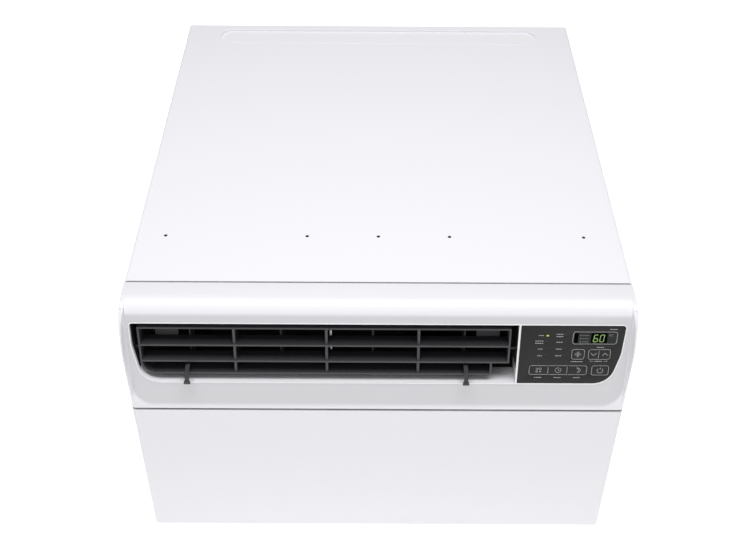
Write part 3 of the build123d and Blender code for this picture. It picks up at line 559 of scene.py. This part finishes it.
def key_frame(solid, name):
    """Printed outline; keys that stand in a row share one rounded frame with upright dividers."""
    x0, x1, s0, s1 = KEYS[name]
    edge = 0.5
    x0, x1, s0, s1 = x0 + edge, x1 - edge, s0 + edge, s1 - edge
    r = 2.6
    joins_left = name in ("temp_up", "timer", "sleep")
    joins_right = name in ("temp_down", "mode", "timer")
    a0 = x0 - OVERHANG if joins_left else x0
    a1 = x1 + OVERHANG if joins_right else x1
    if joins_left and joins_right:
        solid.band([(a0, s0), (a1, s0)], LINE, *INK)
        solid.band([(a0, s1), (a1, s1)], LINE, *INK)
    elif joins_right:
        bends = arc(x0 + r, s0 + r, r, 270, 180, 6) + arc(x0 + r, s1 - r, r, 180, 90, 6)
        path = [(a1, s0)] + bends + [(a1, s1)]
        solid.band(path, LINE, *INK)
    elif joins_left:
        bends = arc(x1 - r, s0 + r, r, -90, 0, 6) + arc(x1 - r, s1 - r, r, 0, 90, 6)
        path = [(a0, s0)] + bends + [(a0, s1)]
        solid.band(path, LINE, *INK)
    else:
        solid.band(rounded(x0, x1, s0, s1, (r, r, r, r)), LINE, *INK, closed=True)
    if joins_right:
        solid.band([(x1 + 0.1, s0 + 1.6), (x1 + 0.1, s1 - 1.6)], LINE, *INK)


def petal(x, s, turn):
    """One loop of the fan symbol."""
    points = []
    for i in range(14):
        t = 2 * math.pi * i / 14
        along = 2.1 + 1.5 * math.cos(t)
        across = 0.95 * math.sin(t) * (1 + 0.35 * math.cos(t))
        angle = math.radians(turn)
        px = along * math.cos(angle) - across * math.sin(angle)
        ps = along * math.sin(angle) + across * math.cos(angle)
        points.append((x + px, s + ps))
    return points


def symbol(solid, name):
    x0, x1, s0, s1 = KEYS[name]
    x, s = (x0 + x1) / 2, (s0 + s1) / 2
    thin = 0.4
    if name == "fan_speed":
        for turn in (0, 90, 180, 270):
            solid.band(petal(x, s, turn), 0.34, *INK, closed=True)
    elif name == "temp_down":
        solid.band([(x - 3.3, s - 1.6), (x, s + 1.7), (x + 3.3, s - 1.6)], 0.5, *INK)
    elif name == "temp_up":
        solid.band([(x - 3.3, s + 1.6), (x, s - 1.7), (x + 3.3, s + 1.6)], 0.5, *INK)
    elif name == "mode":
        solid.band(arc(x - 1.9, s - 1.8, 1.2, 0, 330, 11), thin, *INK, closed=True)
        solid.band(rounded(x + 0.7, x + 3.1, s - 3.0, s - 0.6, (0.4,) * 4, 2), thin, *INK, closed=True)
        diamond = [(x - 1.9, s + 0.5), (x - 0.6, s + 1.9), (x - 1.9, s + 3.3), (x - 3.2, s + 1.9)]
        solid.band(diamond, thin, *INK, closed=True)
        solid.band([(x + 1.9, s + 0.6), (x + 1.9, s + 3.2)], thin, *INK)
        solid.band([(x + 0.6, s + 1.9), (x + 3.2, s + 1.9)], thin, *INK)
    elif name == "timer":
        solid.band(arc(x, s, 3.5, -60, 280, 22), thin, *INK)
        solid.band([(x, s - 2.3), (x, s), (x + 1.9, s)], thin, *INK)
    elif name == "sleep":
        path = arc(x, s, 3.4, -110, 75, 14) + arc(x - 1.6, s, 3.0, 60, -60, 9)
        solid.band(path, thin, *INK, closed=True)
    elif name == "power":
        solid.band(arc(x, s + 0.3, 3.4, -55, 235, 22), 0.5, *INK)
        solid.band([(x, s - 4.2), (x, s - 1.2)], 0.5, *INK)


def key_prints():
    for name in KEYS:
        solid = Solid(face_at)
        key_frame(solid, name)
        symbol(solid, name)
        solid.piece(f"{name}_print", PRINT, f"button_{name}_body")


def dashes(solid, x0, x1, s, marks):
    """Row of short strokes where a caption would stand; it carries no letters."""
    width = (x1 - x0) / marks
    for i in range(marks):
        a = x0 + i * width
        solid.box(a, a + width * 0.72, s - 0.45, s + 0.45, *INK)


def panel_prints():
    solid = Solid(face_at)
    for s in (14.2, 33.4, 43.1):
        dashes(solid, 188.0, 194.4, s, 3)
    for s in (22.0, 25.2):
        dashes(solid, 184.6, 194.4, s, 4)
    for s in (12.4, 15.6):
        dashes(solid, 208.8, 217.2, s, 4)
    for s in (23.6, 33.4, 43.0):
        dashes(solid, 209.4, 217.2, s, 3)
    for x, s in ((191.5, 74.6), (214.8, 74.6), (238.0, 74.6), (262.2, 30.6)):
        dashes(solid, x - 4.4, x + 4.4, s, 4)
    dashes(solid, 228.6, 243.6, 51.2, 6)
    dashes(solid, 270.4, 279.6, 5.2, 4)
    solid.band([(251.6, 49.4), (251.6, 50.6), (255.4, 50.6)], SHORT, *INK)
    solid.band([(267.6, 50.6), (271.6, 50.6), (271.6, 49.4)], SHORT, *INK)
    dashes(solid, 257.0, 266.4, 50.6, 4)
    solid.piece("panel_print", PRINT, "cabinet")

    frame_line = Solid(face_at)
    frame_line.band(rounded(228.3, 279.9, 8.9, 25.9, (3, 3, 3, 3)), LINE, *INK, closed=True)
    frame_line.piece("display_frame_print", PRINT, "cabinet")


def segment(solid, x, s, length, upright, lean):
    """One bar of a seven-bar digit; lean tilts the digit to the right."""
    half = length / 2
    tip = 0.42
    thick = 0.42
    if upright:
        right = [(0, -half), (thick, -half + tip), (thick, half - tip)]
        shape = right + [(-a, -b) for a, b in right]
    else:
        upper = [(-half, 0), (-half + tip, -thick), (half - tip, -thick)]
        shape = upper + [(-a, -b) for a, b in upper]
    solid.plate([(x + a - lean * (s + b - DIGIT_S), s + b) for a, b in shape], 0.0, 0.07)


DIGIT_S = 17.9
BARS = {
    "top": (0.0, -4.8, False),
    "middle": (0.0, 0.0, False),
    "bottom": (0.0, 4.8, False),
    "upper_left": (-2.25, -2.4, True),
    "upper_right": (2.25, -2.4, True),
    "lower_left": (-2.25, 2.4, True),
    "lower_right": (2.25, 2.4, True),
}


def digits():
    lit = Solid(face_at)
    for centre, missing in ((255.0, "upper_right"), (262.4, "middle")):
        for bar, (dx, ds, upright) in BARS.items():
            if bar != missing:
                segment(lit, centre + dx, DIGIT_S + ds, 4.6 if upright else 4.2, upright, 0.10)
    lit.piece("display_digits", DIGITS, "cabinet")
    ring = Solid(face_at)
    ring.band(arc(271.4, 13.4, 1.1, 0, 330, 11), 0.45, 0.0, 0.06, closed=True)
    ring.band([(273.6, 15.6), (273.6, 12.4), (275.6, 12.4)], 0.4, 0.0, 0.06)
    ring.piece("degree_mark", MATS["dim_print"], "cabinet")
    marks = Solid(face_at)
    for s in (14.0, 18.4, 22.8):
        marks.box(236.4, 238.0, s - 0.7, s + 0.7, 0.0, 0.05)
        dashes(marks, 239.4, 247.0, s, 3)
    marks.piece("level_marks", MATS["dim_print"], "cabinet")
    backing = Solid(face_at)
    backing.box(249.2, 268.6, 10.3, 24.6, -0.05, 0.015)
    backing.box(229.8, 234.4, 10.3, 24.6, -0.05, 0.015)
    backing.piece("display_windows", MATS["display_dark"], "cabinet")


def lit_lamp():
    solid = Solid(face_at)
    solid.box(197.1, 199.9, 13.5, 15.3, -0.35, 0.08)
    solid.piece("lit_lamp", LAMP, "cabinet", 0.0001)


key_prints()
panel_prints()
digits()
lit_lamp()


# ---- stage -------------------------------------------------------------------------------

def stage():
    mesh = bpy.data.meshes.new("floor")
    bm = bmesh.new()
    bmesh.ops.create_grid(bm, x_segments=1, y_segments=1, size=12.0)
    bm.to_mesh(mesh)
    bm.free()
    floor = bpy.data.objects.new("floor", mesh)
    floor.location.z = -0.0005
    bpy.context.scene.collection.objects.link(floor)
    mesh.materials.append(material("floor_white", (0.55, 0.55, 0.55), 0.9, grain=3, bump=0.0, tint=0.004,
                                   emit=(1.0, 1.0, 1.0), glow=0.92))

    world = bpy.data.worlds.new("studio")
    world.use_nodes = True
    world.node_tree.nodes["Background"].inputs["Color"].default_value = (1.0, 1.0, 1.0, 1.0)
    world.node_tree.nodes["Background"].inputs["Strength"].default_value = 0.26
    bpy.context.scene.world = world

    def area(name, place, target, size, power, colour=(1, 1, 1)):
        lamp = bpy.data.lights.new(name, "AREA")
        lamp.shape = "RECTANGLE"
        lamp.size, lamp.size_y = size
        lamp.energy = power
        lamp.color = colour
        obj = bpy.data.objects.new(name, lamp)
        obj.location = place
        aim = Vector(target) - Vector(place)
        obj.rotation_euler = aim.to_track_quat("-Z", "Y").to_euler()
        bpy.context.scene.collection.objects.link(obj)

    area("overhead", (0.0, -0.55, 2.6), (0.0, -0.35, 0.4), (1.8, 1.2), 50)
    area("front_high", (0.0, -2.3, 2.3), (0.0, -0.3, 0.3), (2.4, 1.0), 9)


stage()


def camera():
    data = bpy.data.cameras.new("camera")
    data.sensor_width = 36.0
    data.lens = 53.2
    obj = bpy.data.objects.new("camera", data)
    turn = Matrix.Rotation(math.radians(-0.16), 3, "Z")
    tilt = Matrix.Rotation(math.radians(48.62), 3, "X")
    roll = Matrix.Rotation(math.radians(0.40), 3, "Z")
    obj.rotation_euler = (turn @ tilt @ roll).to_euler()
    obj.location = (-0.0068, FRONT - 0.9050, 1.2513)
    bpy.context.scene.collection.objects.link(obj)
    bpy.context.scene.camera = obj


camera()

bpy.context.scene.view_settings.view_transform = "Standard"
